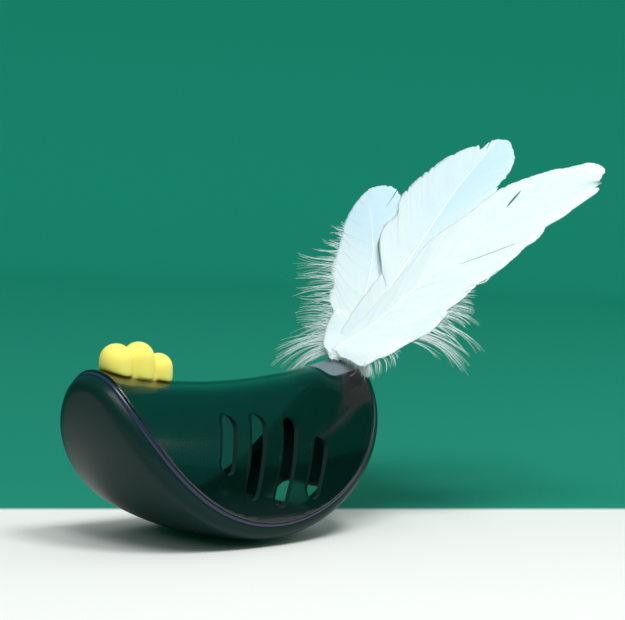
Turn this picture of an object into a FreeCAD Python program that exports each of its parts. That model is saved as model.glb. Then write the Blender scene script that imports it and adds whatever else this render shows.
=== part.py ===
import FreeCAD, Part
import math
import os
import Sketcher

# Rocking treat toy with a feather tail, in millimetres.
# X runs from the crest end to the feather end, Y across, Z up.
# The origin is the point of the tread that touches the floor.
# Two surfaces of revolution about axes parallel to Y shape the body: the crowned tread below, and the
# saddle above it. Insets of these two surfaces give every wall, ledge and parting line.

Vector = FreeCAD.Vector
Rotation = FreeCAD.Rotation
Placement = FreeCAD.Placement

SIZES = [
    # body
    ("tread_radius", 68.0),
    ("crown_radius", 156.0),
    ("blank_half_width", 40.0),
    ("half_width", 34.2),
    ("flank_radius", 64.5),
    ("flank_depth", 52.5),
    ("ridge_height", 57.7),
    ("ridge_radius", 285.0),
    ("saddle_sweep", 28.0),
    ("saddle_floor", -6.0),
    # base
    ("base_wall", 2.5),
    ("lip_width", 5.3),
    ("lip_round", 5.0),
    ("lip_drop", 1.7),
    ("lip_depth", 6.0),
    ("ledge_width", 2.0),
    # cover
    ("cover_wall", 2.0),
    ("cover_gap", 0.25),
    ("ledge_gap", 0.05),
    ("cover_round", 0.7),
    ("window_width", 6.5),
    ("window_lean", 28.0),
    ("first_window_x", -19.6),
    ("first_window_z", 37.9),
    ("first_window_length", 21.7),
    ("second_window_x", -7.7),
    ("second_window_z", 32.8),
    ("second_window_length", 31.9),
    ("third_window_x", 6.4),
    ("third_window_z", 30.1),
    ("third_window_length", 34.3),
    ("fourth_window_x", 20.2),
    ("fourth_window_z", 27.4),
    ("fourth_window_length", 24.0),
    # treat outlet
    ("outlet_angle", 33.0),
    ("outlet_length", 14.3),
    ("outlet_width", 22.8),
    ("outlet_corner", 2.5),
    # ballast and the tray over it
    ("ballast_length", 44.0),
    ("ballast_width", 46.0),
    ("ballast_shift", -1.8),
    ("ballast_corner", 5.0),
    ("ballast_top", 9.5),
    ("tray_gap", 0.3),
    ("tray_wall", 1.5),
    ("tray_front", 24.3),
    ("tray_back", 27.0),
    ("tray_width", 50.0),
    ("tray_corner", 4.0),
    ("boss_spacing_x", 30.0),
    ("boss_spacing_y", 32.0),
    ("boss_radius", 3.0),
    ("pilot_depth", 3.8),
    ("screw_radius", 1.2),
    ("screw_fit", 0.05),
    ("screw_length", 4.6),
    ("screw_head_radius", 2.5),
    ("screw_head_height", 1.5),
    # crest stopper
    ("crest_gap", 0.3),
    ("front_lobe_x", "=15.7 - tread_radius"),
    ("front_lobe_radius", 6.1),
    ("front_lobe_top", "=ridge_height + 15.8"),
    ("middle_lobe_x", "=front_lobe_x + 10.1"),
    ("middle_lobe_radius", 5.9),
    ("middle_lobe_top", "=ridge_height + 16.1"),
    ("rear_lobe_x", "=front_lobe_x + 19.5"),
    ("rear_lobe_radius", 5.3),
    ("rear_lobe_top", "=ridge_height + 11.7"),
    ("stem_width", 8.0),
    ("stem_length", 15.0),
    ("stem_depth", 3.0),
    ("stem_rise", 3.5),
    # feather seat
    ("seat_start", "=tread_radius - 23.5"),
    ("seat_half_width", 10.5),
    ("seat_corner", 3.2),
    ("seat_gap", 0.3),
    ("flange_margin", 2.0),
    ("flange_wall", 1.5),
    ("fan_lean", 46.0),
    ("mouth_x", "=tread_radius - 11"),
    ("socket_wall", 1.0),
    ("socket_depth", 11.8),
    ("socket_floor", 1.0),
    # feather bundle
    ("ferrule_fit", 0.05),
    ("ferrule_radius", 2.85),
    ("ferrule_wall", 0.4),
    ("ferrule_length", 13.3),
    ("ferrule_top", 2.0),
    ("pivot_height", 3.0),
    ("quill_depth", 11.0),
    ("quill_radius", 0.65),
    ("quill_tip_radius", 0.25),
    ("knuckle_rise", 0.06),
    ("layer_spacing", 1.7),
    ("vane_thickness", 0.7),
    ("down_thickness", 0.8),
    ("down_gap", 0.3),
]

# Each feather: its turn from the fan's middle, towards +Y; its length from the pivot; where the vane
# starts; and the half widths of its left and right sides at a lower and an upper shoulder.
FEATHER_WORDS = ("turn", "length", "start", "low", "high", "left_low", "left_high", "right_low", "right_high")
FEATHERS = {
    "long": (-32.8, 126.6, 6.0, 38.0, 100.0, 20.0, 25.0, 17.0, 9.0),
    "middle": (-1.7, 121.5, 6.5, 45.0, 98.0, 20.0, 29.0, 17.0, 17.5),
    "short": (25.0, 102.3, 7.0, 40.0, 84.0, 13.5, 16.0, 13.0, 15.5),
    "down_left": (96.0, 36.0, 0.3, 14.0, 27.0, 4.5, 7.0, 5.5, 5.0),
    "down_right": (-78.0, 62.0, 0.3, 26.0, 44.0, 9.0, 12.0, 6.0, 9.0),
    "down_front": (-102.0, 28.0, 0.3, 10.0, 20.0, 3.5, 5.0, 3.0, 4.0),
}
for prefix, values in FEATHERS.items():
    for word, value in zip(FEATHER_WORDS, values):
        SIZES.append((prefix + "_" + word, value))

doc = FreeCAD.newDocument("rocking_treat_toy")
sizes = doc.addObject("Spreadsheet::Sheet", "sizes")
for row, (alias, value) in enumerate(SIZES, start=1):
    sizes.set("A%d" % row, alias)
    sizes.set("B%d" % row, str(value))
    sizes.setAlias("B%d" % row, alias)
doc.recompute()

Y_AXIS = Vector(0, 1, 0)
# A section lies in the plane X = 0, with its own x along Y and its own y along Z.
ACROSS = Rotation(Vector(1, 1, 1), 120)
# A side view lies in the plane Y = 0, and its normal points to -Y.
SIDE = Rotation(Vector(1, 0, 0), 90)
FLAT = Rotation()

ORIGIN = (-1, 1)
VERTICAL_AXIS = -2


def number(text):
    """The present value of an expression on the sheet."""
    result = sizes.evalExpression(text)
    return float(getattr(result, "Value", result))


def new_sketch(name, rotation):
    sketch = doc.addObject("Sketcher::SketchObject", name)
    sketch.Placement = Placement(Vector(), rotation)
    return sketch


def tie(sketch, kind, where, name, text):
    """Adds a driving dimension that follows an expression."""
    index = sketch.addConstraint(Sketcher.Constraint(kind, *where, number(text)))
    sketch.renameConstraint(index, name)
    sketch.setExpression("Constraints." + name, text)


def relate(sketch, kind, *where):
    sketch.addConstraint(Sketcher.Constraint(kind, *where))


def place_point(sketch, geometry, end, name, x_text, y_text):
    tie(sketch, "DistanceX", ORIGIN + (geometry, end), name + "_x", x_text)
    tie(sketch, "DistanceY", ORIGIN + (geometry, end), name + "_y", y_text)


def arc(sketch, centre, radius, start, end):
    circle = Part.Circle(centre, Vector(0, 0, 1), radius)
    return sketch.addGeometry(Part.ArcOfCircle(circle, start, end))


def line(sketch, start, end):
    return sketch.addGeometry(Part.LineSegment(start, end))


def rounded_rectangle(name, rotation, left, right, bottom, top, corner):
    """A sketch of a rectangle with equal corner arcs; its sides are expressions."""
    sketch = new_sketch(name, rotation)
    x0, x1, y0, y1, r = [number(text) for text in (left, right, bottom, top, corner)]
    half = math.pi / 2
    line(sketch, Vector(x0 + r, y0, 0), Vector(x1 - r, y0, 0))
    arc(sketch, Vector(x1 - r, y0 + r, 0), r, -half, 0)
    line(sketch, Vector(x1, y0 + r, 0), Vector(x1, y1 - r, 0))
    arc(sketch, Vector(x1 - r, y1 - r, 0), r, 0, half)
    line(sketch, Vector(x1 - r, y1, 0), Vector(x0 + r, y1, 0))
    arc(sketch, Vector(x0 + r, y1 - r, 0), r, half, 2 * half)
    line(sketch, Vector(x0, y1 - r, 0), Vector(x0, y0 + r, 0))
    arc(sketch, Vector(x0 + r, y0 + r, 0), r, 2 * half, 3 * half)
    for index in range(8):
        relate(sketch, "Tangent", index, 2, (index + 1) % 8, 1)
    relate(sketch, "Horizontal", 0)
    relate(sketch, "Vertical", 2)
    relate(sketch, "Horizontal", 4)
    relate(sketch, "Vertical", 6)
    for index in (3, 5, 7):
        relate(sketch, "Equal", 1, index)
    tie(sketch, "Radius", (1,), "corner", corner)
    tie(sketch, "DistanceX", ORIGIN + (6, 1), "left", left)
    tie(sketch, "DistanceX", ORIGIN + (2, 1), "right", right)
    tie(sketch, "DistanceY", ORIGIN + (0, 1), "bottom", bottom)
    tie(sketch, "DistanceY", ORIGIN + (4, 1), "top", top)
    return sketch


def stadium(name, rotation, x_text, y_text, length, width, lean):
    """A sketch of a slot whose long axis leans from the vertical by an angle."""
    sketch = new_sketch(name, rotation)
    reach = "(%s - %s) / 2" % (length, width)
    along_x = "%s * sin(%s)" % (reach, lean)
    along_y = "%s * cos(%s)" % (reach, lean)
    x, y, dx, dy, r = [number(text) for text in (x_text, y_text, along_x, along_y, width + " / 2")]
    turn = math.radians(number(lean))
    upper = Vector(x + dx, y + dy, 0)
    lower = Vector(x - dx, y - dy, 0)
    side = Vector(math.cos(turn), -math.sin(turn), 0) * r
    arc(sketch, upper, r, -turn, math.pi - turn)
    line(sketch, upper - side, lower - side)
    arc(sketch, lower, r, math.pi - turn, 2 * math.pi - turn)
    line(sketch, lower + side, upper + side)
    for index in range(4):
        relate(sketch, "Tangent", index, 2, (index + 1) % 4, 1)
    relate(sketch, "Equal", 0, 2)
    tie(sketch, "Radius", (0,), "end_radius", width + " / 2")
    place_point(sketch, 0, 3, "upper", "%s + %s" % (x_text, along_x), "%s + %s" % (y_text, along_y))
    place_point(sketch, 2, 3, "lower", "%s - %s" % (x_text, along_x), "%s - %s" % (y_text, along_y))
    return sketch


def rectangle(name, rotation, left, right, bottom, top):
    sketch = new_sketch(name, rotation)
    x0, x1, y0, y1 = [number(text) for text in (left, right, bottom, top)]
    corners = [Vector(x0, y0, 0), Vector(x1, y0, 0), Vector(x1, y1, 0), Vector(x0, y1, 0)]
    for index in range(4):
        line(sketch, corners[index], corners[(index + 1) % 4])
    for index in range(4):
        relate(sketch, "Coincident", index, 2, (index + 1) % 4, 1)
    relate(sketch, "Horizontal", 0)
    relate(sketch, "Vertical", 1)
    relate(sketch, "Horizontal", 2)
    relate(sketch, "Vertical", 3)
    place_point(sketch, 0, 1, "low", left, bottom)
    place_point(sketch, 1, 2, "high", right, top)
    return sketch


def prism(name, sketch, forward, backward="0"):
    """Extrudes a sketch along its normal."""
    solid = doc.addObject("Part::Extrusion", name)
    solid.Base = sketch
    solid.DirMode = "Normal"
    solid.Solid = True
    solid.setExpression("LengthFwd", forward)
    solid.setExpression("LengthRev", backward)
    return solid


def revolve(name, sketch, axis_height, angle="360", symmetric=True):
    """Turns a sketch about an axis parallel to Y at X = 0."""
    solid = doc.addObject("Part::Revolution", name)
    solid.Source = sketch
    solid.Axis = Y_AXIS
    solid.setExpression("Base.z", axis_height)
    solid.setExpression("Angle", angle)
    solid.Symmetric = symmetric
    solid.Solid = True
    return solid


def common(name, first, second):
    result = doc.addObject("Part::Common", name)
    result.Base = first
    result.Tool = second
    return result


def cut(name, first, *tools):
    result = first
    for count, tool in enumerate(tools, start=1):
        step = doc.addObject("Part::Cut", name if count == len(tools) else "%s_step_%d" % (name, count))
        step.Base = result
        step.Tool = tool
        result = step
    return result


def fuse(name, *shapes):
    result = doc.addObject("Part::MultiFuse", name)
    result.Shapes = list(shapes)
    return result


def cylinder(name, radius, height, x_text="0", y_text="0", z_text="0"):
    solid = doc.addObject("Part::Cylinder", name)
    solid.setExpression("Radius", radius)
    solid.setExpression("Height", height)
    solid.setExpression("Placement.Base.x", x_text)
    solid.setExpression("Placement.Base.y", y_text)
    solid.setExpression("Placement.Base.z", z_text)
    return solid


def sphere(name, radius, x_text="0", y_text="0", z_text="0"):
    solid = doc.addObject("Part::Sphere", name)
    solid.setExpression("Radius", radius)
    solid.setExpression("Placement.Base.x", x_text)
    solid.setExpression("Placement.Base.y", y_text)
    solid.setExpression("Placement.Base.z", z_text)
    return solid


# The tread and saddle surfaces

def tread(name, inset):
    """A barrel inside the tread surface, moved inwards by an inset."""
    sketch = new_sketch(name + "_section", ACROSS)
    half, centre, axis = number("sizes.blank_half_width"), number("sizes.crown_radius"), number("sizes.tread_radius")
    radius = centre - number(inset)
    spread = math.asin(half / radius)
    foot = centre - radius * math.cos(spread)
    down = -math.pi / 2
    arc(sketch, Vector(0, centre, 0), radius, down - spread, down + spread)
    line(sketch, Vector(half, foot, 0), Vector(half, axis, 0))
    line(sketch, Vector(half, axis, 0), Vector(-half, axis, 0))
    line(sketch, Vector(-half, axis, 0), Vector(-half, foot, 0))
    for index in range(4):
        relate(sketch, "Coincident", index, 2, (index + 1) % 4, 1)
    relate(sketch, "Vertical", 1)
    relate(sketch, "Horizontal", 2)
    relate(sketch, "Vertical", 3)
    relate(sketch, "PointOnObject", 0, 3, VERTICAL_AXIS)
    tie(sketch, "Radius", (0,), "crown", "sizes.crown_radius - (%s)" % inset)
    tie(sketch, "DistanceY", ORIGIN + (0, 3), "crown_centre", "sizes.crown_radius")
    place_point(sketch, 1, 2, "right_end", "sizes.blank_half_width", "sizes.tread_radius")
    tie(sketch, "DistanceX", (3, 1) + ORIGIN, "left_end", "sizes.blank_half_width")
    return revolve(name, sketch, "sizes.tread_radius")


TOP_ROUND = ("(sizes.half_width^2 - 2 * sizes.half_width * sizes.flank_radius + sizes.flank_depth^2)"
             " / (2 * (sizes.flank_depth - sizes.flank_radius))")


def saddle(name, inset):
    """The block under the saddle surface, moved inwards by an inset: a round top arc between two
    tangent flank arcs, swept along the ridge."""
    sketch = new_sketch(name + "_section", ACROSS)
    depth = number(inset)
    flank, top = number("sizes.flank_radius") - depth, number(TOP_ROUND) - depth
    side = number("sizes.flank_radius - sizes.half_width")
    centre_height = number("sizes.ridge_height - sizes.flank_depth")
    top_height = number("sizes.ridge_height") - number(TOP_ROUND)
    floor = number("sizes.saddle_floor")
    join = math.atan2(top_height - centre_height, side)
    edge = flank - side
    arc(sketch, Vector(-side, centre_height, 0), flank, 0, join)
    arc(sketch, Vector(0, top_height, 0), top, join, math.pi - join)
    arc(sketch, Vector(side, centre_height, 0), flank, math.pi - join, math.pi)
    line(sketch, Vector(-edge, centre_height, 0), Vector(-edge, floor, 0))
    line(sketch, Vector(-edge, floor, 0), Vector(edge, floor, 0))
    line(sketch, Vector(edge, floor, 0), Vector(edge, centre_height, 0))
    relate(sketch, "Tangent", 0, 2, 1, 1)
    relate(sketch, "Tangent", 1, 2, 2, 1)
    relate(sketch, "Coincident", 2, 2, 3, 1)
    relate(sketch, "Coincident", 3, 2, 4, 1)
    relate(sketch, "Coincident", 4, 2, 5, 1)
    relate(sketch, "Coincident", 5, 2, 0, 1)
    relate(sketch, "Vertical", 3)
    relate(sketch, "Horizontal", 4)
    relate(sketch, "Vertical", 5)
    relate(sketch, "Horizontal", 0, 3, 0, 1)
    relate(sketch, "Horizontal", 2, 3, 2, 2)
    tie(sketch, "Radius", (0,), "right_flank", "sizes.flank_radius - (%s)" % inset)
    tie(sketch, "Radius", (2,), "left_flank", "sizes.flank_radius - (%s)" % inset)
    place_point(sketch, 0, 3, "right_centre", "sizes.half_width - sizes.flank_radius",
                "sizes.ridge_height - sizes.flank_depth")
    place_point(sketch, 2, 3, "left_centre", "sizes.flank_radius - sizes.half_width",
                "sizes.ridge_height - sizes.flank_depth")
    tie(sketch, "Radius", (1,), "top_round", "%s - (%s)" % (TOP_ROUND, inset))
    tie(sketch, "DistanceY", ORIGIN + (4, 1), "floor", "sizes.saddle_floor")
    return revolve(name, sketch, "sizes.ridge_height + sizes.ridge_radius", "sizes.saddle_sweep")


def round_tread_edges(name, block, radius):
    """Rounds the edge where the tread surface of a block meets its saddle surface."""
    body = doc.addObject("PartDesign::Body", name)
    body.BaseFeature = block
    doc.recompute()
    base = body.Group[0]
    shape = base.Shape
    outer = [face for face in shape.Faces if face.Surface.TypeId == "Part::GeomSurfaceOfRevolution"][0]
    names = ["Edge%d" % (index + 1) for index, edge in enumerate(shape.Edges)
             if any(edge.isSame(side) for side in outer.Edges)]
    fillet = body.newObject("PartDesign::Fillet", name + "_fillet")
    fillet.Base = (base, names)
    fillet.setExpression("Radius", radius)
    return body


tread_outer = tread("tread_outer", "0")
tread_wall = tread("tread_wall", "sizes.base_wall")
tread_lip = tread("tread_lip", "sizes.lip_width")
tread_ledge = tread("tread_ledge", "sizes.lip_width + sizes.ledge_width")
tread_cover = tread("tread_cover", "sizes.lip_width + sizes.cover_gap")
tread_clear = tread("tread_clear", "sizes.lip_width + sizes.ledge_width + sizes.seat_gap")
tread_ballast = tread("tread_ballast", "sizes.base_wall + sizes.tray_gap")

# Base shell

saddle_top = saddle("saddle_top", "0")
saddle_lip = saddle("saddle_lip", "sizes.lip_drop")
saddle_under = saddle("saddle_under", "sizes.cover_wall")
saddle_ledge = saddle("saddle_ledge", "sizes.cover_wall + sizes.ledge_gap")
saddle_cavity = saddle("saddle_cavity", "sizes.lip_depth")
saddle_flange = saddle("saddle_flange", "sizes.cover_wall + sizes.seat_gap")
saddle_flange_under = saddle("saddle_flange_under", "sizes.cover_wall + sizes.seat_gap + sizes.flange_wall")
saddle_crest = saddle("saddle_crest", "-sizes.crest_gap")


MOUTH_Z = "(sizes.ridge_height + sizes.ridge_radius - sqrt(sizes.ridge_radius^2 - sizes.mouth_x^2))"


def along_fan(name, radius, low, high):
    """A cylinder on the feather socket's axis, between two heights from the socket's mouth."""
    solid = doc.addObject("Part::Cylinder", name)
    solid.setExpression("Radius", radius)
    solid.setExpression("Height", "(%s) - (%s)" % (high, low))
    solid.setExpression("Placement", (
        "create(<<placement>>; create(<<vector>>; sizes.mouth_x + (%s) * cos(sizes.fan_lean); 0;"
        " %s + (%s) * sin(sizes.fan_lean));"
        " create(<<rotation>>; create(<<vector>>; 0; 1; 0); 90 - sizes.fan_lean))") % (low, MOUTH_Z, low))
    return solid


def boss_places():
    """Label and centre of each of the four screw bosses."""
    for x_name, x_sign in (("rear", "-"), ("front", "")):
        for y_name, y_sign in (("right", "-"), ("left", "")):
            x_text = "sizes.ballast_shift + %ssizes.boss_spacing_x / 2" % x_sign
            yield "%s_%s" % (x_name, y_name), x_text, "%ssizes.boss_spacing_y / 2" % y_sign


base_block = common("base_block", tread_outer, saddle_lip)
base_blank = round_tread_edges("base_blank", base_block, "sizes.lip_round")
cover_recess = cut("cover_recess", tread_lip, saddle_ledge)
cavity = common("cavity", tread_wall, saddle_cavity)

outlet_sketch = rounded_rectangle(
    "outlet_outline", FLAT, "-sizes.outlet_length / 2", "sizes.outlet_length / 2",
    "-sizes.outlet_width / 2", "sizes.outlet_width / 2", "sizes.outlet_corner")
outlet_sketch.setExpression("Placement", (
    "create(<<placement>>; create(<<vector>>; 0; 0; sizes.tread_radius);"
    " create(<<rotation>>; create(<<vector>>; 0; 1; 0); -sizes.outlet_angle))"))
outlet_cutter = prism("outlet_cutter", outlet_sketch, "0", "sizes.tread_radius + 5")

SOCKET_OUTER = "(sizes.ferrule_radius + sizes.ferrule_fit + sizes.socket_wall)"
socket_notch = along_fan("socket_notch", SOCKET_OUTER + " + sizes.seat_gap",
                         "-sizes.socket_depth - sizes.socket_floor - sizes.seat_gap", "20")
base_open = cut("base_open", base_blank, cover_recess, tread_ledge, cavity, outlet_cutter, socket_notch)

BOSS_TOP = "sizes.ballast_top + sizes.tray_gap"
PILOT_RADIUS = "sizes.screw_radius + sizes.screw_fit"
bosses = []
pilots = []
for label, x_text, y_text in boss_places():
    bosses.append(cylinder(label + "_boss", "sizes.boss_radius", BOSS_TOP, x_text, y_text))
    pilots.append(cylinder(label + "_pilot", PILOT_RADIUS, "sizes.pilot_depth + 1", x_text, y_text,
                           "(%s) - sizes.pilot_depth" % BOSS_TOP))
# The bosses are rods that end inside the tread wall.
boss_rods = fuse("boss_rods", *bosses)
boss_group = common("boss_group", boss_rods, tread("tread_boss", "sizes.base_wall / 2"))
base_shell = cut("base_shell", fuse("base_with_bosses", base_open, boss_group), fuse("pilot_holes", *pilots))


# Smoke cover

cover_block = common("cover_block", saddle_top, tread_cover)
cover_blank = round_tread_edges("cover_blank", cover_block, "sizes.cover_round")
WINDOWS = ("first_window", "second_window", "third_window", "fourth_window")
windows = []
for window in WINDOWS:
    outline = stadium(window + "_outline", SIDE, "sizes.%s_x" % window, "sizes.%s_z" % window,
                      "sizes.%s_length" % window, "sizes.window_width", "sizes.window_lean")
    outline.setExpression("Placement.Base.y", "-sizes.half_width / 4")
    windows.append(prism(window, outline, "sizes.half_width"))

stem_hole_outline = stadium("stem_hole_outline", FLAT, "sizes.middle_lobe_x", "0",
                            "(sizes.stem_length + 2 * sizes.crest_gap)",
                            "(sizes.stem_width + 2 * sizes.crest_gap)", "90")
stem_hole = prism("stem_hole", stem_hole_outline, "sizes.ridge_height + 40")

seat_cutout_outline = rounded_rectangle(
    "seat_cutout_outline", FLAT, "sizes.seat_start - sizes.seat_gap", "sizes.tread_radius + 20",
    "-sizes.seat_half_width - sizes.seat_gap", "sizes.seat_half_width + sizes.seat_gap",
    "sizes.seat_corner + sizes.seat_gap")
seat_cutout = prism("seat_cutout", seat_cutout_outline, "sizes.ridge_height + 40")
# The cut starts at the tread's axis, so it leaves the cover's lower half whole.
seat_cutout_outline.setExpression("Placement.Base.z", "sizes.tread_radius / 2")
smoke_cover = cut("smoke_cover", cover_blank, saddle_under, fuse("window_group", *windows), stem_hole,
                  seat_cutout)


# Crest stopper

def lobe(name):
    height = "sizes.%s_top - sizes.%s_radius" % (name, name)
    rod = cylinder(name + "_rod", "sizes.%s_radius" % name, height, "sizes.%s_x" % name)
    cap = sphere(name + "_cap", "sizes.%s_radius" % name, "sizes.%s_x" % name, "0", height)
    for solid in (rod, cap):
        # The seams point to +Y, clear of the neighbouring lobes.
        solid.Placement = Placement(solid.Placement.Base, Rotation(Vector(0, 0, 1), 90))
    return fuse(name, rod, cap)


lobe_pair = fuse("lobe_pair", lobe("front_lobe"), lobe("middle_lobe"))
lobes = fuse("lobes", lobe_pair, lobe("rear_lobe"))
crest_body = cut("crest_body", lobes, saddle_crest)
stem_outline = stadium("stem_outline", FLAT, "sizes.middle_lobe_x", "0", "sizes.stem_length",
                       "sizes.stem_width", "90")
stem_outline.setExpression("Placement.Base.z", "sizes.ridge_height - sizes.stem_depth")
stem = prism("stem", stem_outline, "sizes.stem_depth + sizes.stem_rise")
crest_plug = fuse("crest_plug", crest_body, stem)


# Feather seat

seat_outline = rounded_rectangle(
    "seat_outline", FLAT, "sizes.seat_start", "sizes.tread_radius + 20",
    "-sizes.seat_half_width", "sizes.seat_half_width", "sizes.seat_corner")
seat_outline.setExpression("Placement.Base.z", "sizes.tread_radius / 2")
seat_prism = prism("seat_prism", seat_outline, "sizes.ridge_height + 40")
flange_outline = rounded_rectangle(
    "flange_outline", FLAT, "sizes.seat_start - sizes.flange_margin", "sizes.tread_radius + 20",
    "-sizes.seat_half_width - sizes.flange_margin", "sizes.seat_half_width + sizes.flange_margin",
    "sizes.seat_corner + sizes.flange_margin")
flange_outline.setExpression("Placement.Base.z", "sizes.tread_radius / 2")
flange_prism = prism("flange_prism", flange_outline, "sizes.ridge_height + 40")

seat_skin = cut("seat_skin", common("seat_crown", cover_block, seat_prism), saddle_under)
seat_block = common("seat_block", common("seat_inner", saddle_top, seat_prism), tread_clear)
seat_neck = cut("seat_neck", seat_block, saddle_flange_under)
flange_block = common("flange_block", common("flange_top", saddle_flange, flange_prism), tread_clear)
seat_flange = cut("seat_flange", flange_block, saddle_flange_under)
socket_rod = along_fan("socket_rod", SOCKET_OUTER, "-sizes.socket_depth - sizes.socket_floor", "20")
socket_body = common("socket_body", socket_rod, saddle_top)
socket_bore = along_fan("socket_bore", "sizes.ferrule_radius + sizes.ferrule_fit", "-sizes.socket_depth", "20")
feather_seat = cut("feather_seat", fuse("seat_solid", seat_skin, seat_neck, seat_flange, socket_body),
                   socket_bore)


# Ballast, tray and screws

def trimmed_plate(name, outline, low, high, trim, holes):
    outline.setExpression("Placement.Base.z", low)
    plate = prism(name + "_plate", outline, "(%s) - (%s)" % (high, low))
    return cut(name, common(name + "_trimmed", plate, trim), fuse(name + "_holes", *holes))


def hole_group(name, radius):
    return [cylinder("%s_%s_hole" % (name, label), radius, "30", x_text, y_text)
            for label, x_text, y_text in boss_places()]


ballast_outline = rounded_rectangle(
    "ballast_outline", FLAT, "sizes.ballast_shift - sizes.ballast_length / 2",
    "sizes.ballast_shift + sizes.ballast_length / 2", "-sizes.ballast_width / 2", "sizes.ballast_width / 2",
    "sizes.ballast_corner")
ballast = trimmed_plate("ballast", ballast_outline, "0", "sizes.ballast_top", tread_ballast,
                        hole_group("ballast", "sizes.boss_radius + sizes.tray_gap"))

tray_outline = rounded_rectangle(
    "tray_outline", FLAT, "-sizes.tray_back", "sizes.tray_front", "-sizes.tray_width / 2",
    "sizes.tray_width / 2", "sizes.tray_corner")
TRAY_TOP = "%s + sizes.tray_wall" % BOSS_TOP
ballast_tray = trimmed_plate("ballast_tray", tray_outline, BOSS_TOP, TRAY_TOP, tread_ballast,
                             hole_group("tray", "sizes.screw_radius + 2 * sizes.screw_fit"))

screws = []
for label, x_text, y_text in boss_places():
    shank = cylinder(label + "_shank", "sizes.screw_radius", "sizes.screw_length", x_text, y_text,
                     "%s - sizes.screw_length" % TRAY_TOP)
    head = cylinder(label + "_head", "sizes.screw_head_radius", "sizes.screw_head_height", x_text, y_text,
                    TRAY_TOP)
    screws.append(fuse(label + "_screw", shank, head))
tray_screws = doc.addObject("Part::Compound", "tray_screws")
tray_screws.Links = screws


# Feather bundle, laid out in the fan's own plane: x to the left (+Y), y along the fan, z forward.

def fan_placement(turn, along, layer):
    """A frame in the fan plane: turned from the fan's middle, moved along it and out of it."""
    return ("create(<<placement>>; create(<<vector>>;"
            " sizes.mouth_x + (%s) * cos(sizes.fan_lean) - (%s) * sin(sizes.fan_lean); 0;"
            " %s + (%s) * sin(sizes.fan_lean) + (%s) * cos(sizes.fan_lean));"
            " create(<<rotation>>; create(<<vector>>; 0; 0; 1); -90)"
            " * create(<<rotation>>; create(<<vector>>; 1; 0; 0); sizes.fan_lean)"
            " * create(<<rotation>>; create(<<vector>>; 0; 0; 1); %s))"
            % (along, layer, MOUTH_Z, along, layer, turn))


def vane(name, thickness, layer):
    """A leaf in the fan plane: two root arcs, two straight sides and two tip arcs."""
    words = {word: "sizes.%s_%s" % (name, word) for word in FEATHER_WORDS}
    value = {word: number(text) for word, text in words.items()}
    sketch = new_sketch(name + "_outline", FLAT)
    root = Vector(0, value["start"], 0)
    tip = Vector(0, value["length"], 0)
    points = {}
    for side, sign in (("right", 1), ("left", -1)):
        low = Vector(sign * value[side + "_low"], value["low"], 0)
        high = Vector(sign * value[side + "_high"], value["high"], 0)
        points[side] = (low, high, sign)

    def tangent_arc(joint, end, along):
        """The arc that leaves a joint along a direction and ends at a point."""
        chord = end - joint
        normal = Vector(-along.y, along.x, 0)
        radius = chord.Length ** 2 / (2 * chord.dot(normal))
        centre = joint + normal * radius
        first = math.atan2(joint.y - centre.y, joint.x - centre.x)
        last = math.atan2(end.y - centre.y, end.x - centre.x)
        if radius < 0:
            first, last = last, first
        return centre, abs(radius), first, last, radius < 0

    ends = {}
    for side in ("right", "left"):
        low, high, sign = points[side]
        up = (high - low).normalize()
        side_line = line(sketch, low, high)
        for part, joint, end, along, line_end in (("tip", high, tip, up, 2), ("root", low, root, up * -1, 1)):
            centre, radius, first, last, flipped = tangent_arc(joint, end, along)
            curve = arc(sketch, centre, radius, first, last)
            joint_end, far_end = (2, 1) if flipped else (1, 2)
            relate(sketch, "Tangent", side_line, line_end, curve, joint_end)
            ends[side, part] = (curve, far_end)
        edge = "-" if side == "left" else ""
        place_point(sketch, side_line, 1, side + "_low", edge + words[side + "_low"], words["low"])
        place_point(sketch, side_line, 2, side + "_high", edge + words[side + "_high"], words["high"])
    for part, height in (("tip", "length"), ("root", "start")):
        relate(sketch, "Coincident", *(ends["right", part] + ends["left", part]))
        relate(sketch, "PointOnObject", *(ends["right", part] + (VERTICAL_AXIS,)))
        tie(sketch, "DistanceY", ORIGIN + ends["right", part], part, words[height])
    sketch.setExpression("Placement", fan_placement(words["turn"], "sizes.pivot_height",
                                                    "(%s) - %s / 2" % (layer, thickness)))
    return prism(name + "_vane", sketch, thickness)


def feather(name, layer):
    """A vane with its shaft: a root in the ferrule, a knuckle at the pivot and a tapered shaft."""
    turn = "sizes.%s_turn" % name
    leaf = vane(name, "sizes.vane_thickness", layer)
    root = cylinder(name + "_root", "sizes.quill_radius", "sizes.pivot_height + sizes.quill_depth")
    root.setExpression("Placement", fan_placement("0", "-sizes.quill_depth", layer)
                       + " * create(<<rotation>>; create(<<vector>>; 1; 0; 0); -90)")
    knuckle = sphere(name + "_knuckle", "sizes.quill_radius + sizes.knuckle_rise")
    knuckle.setExpression("Placement", fan_placement("0", "sizes.pivot_height", layer))
    shaft = doc.addObject("Part::Cone", name + "_shaft")
    shaft.setExpression("Radius1", "sizes.quill_radius")
    shaft.setExpression("Radius2", "sizes.quill_tip_radius")
    shaft.setExpression("Height", "sizes.%s_length - 4" % name)
    shaft.setExpression("Placement", fan_placement(turn, "sizes.pivot_height", layer)
                        + " * create(<<rotation>>; create(<<vector>>; 1; 0; 0); -90)")
    return fuse("feather_" + name, leaf, root, knuckle, shaft)


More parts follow.
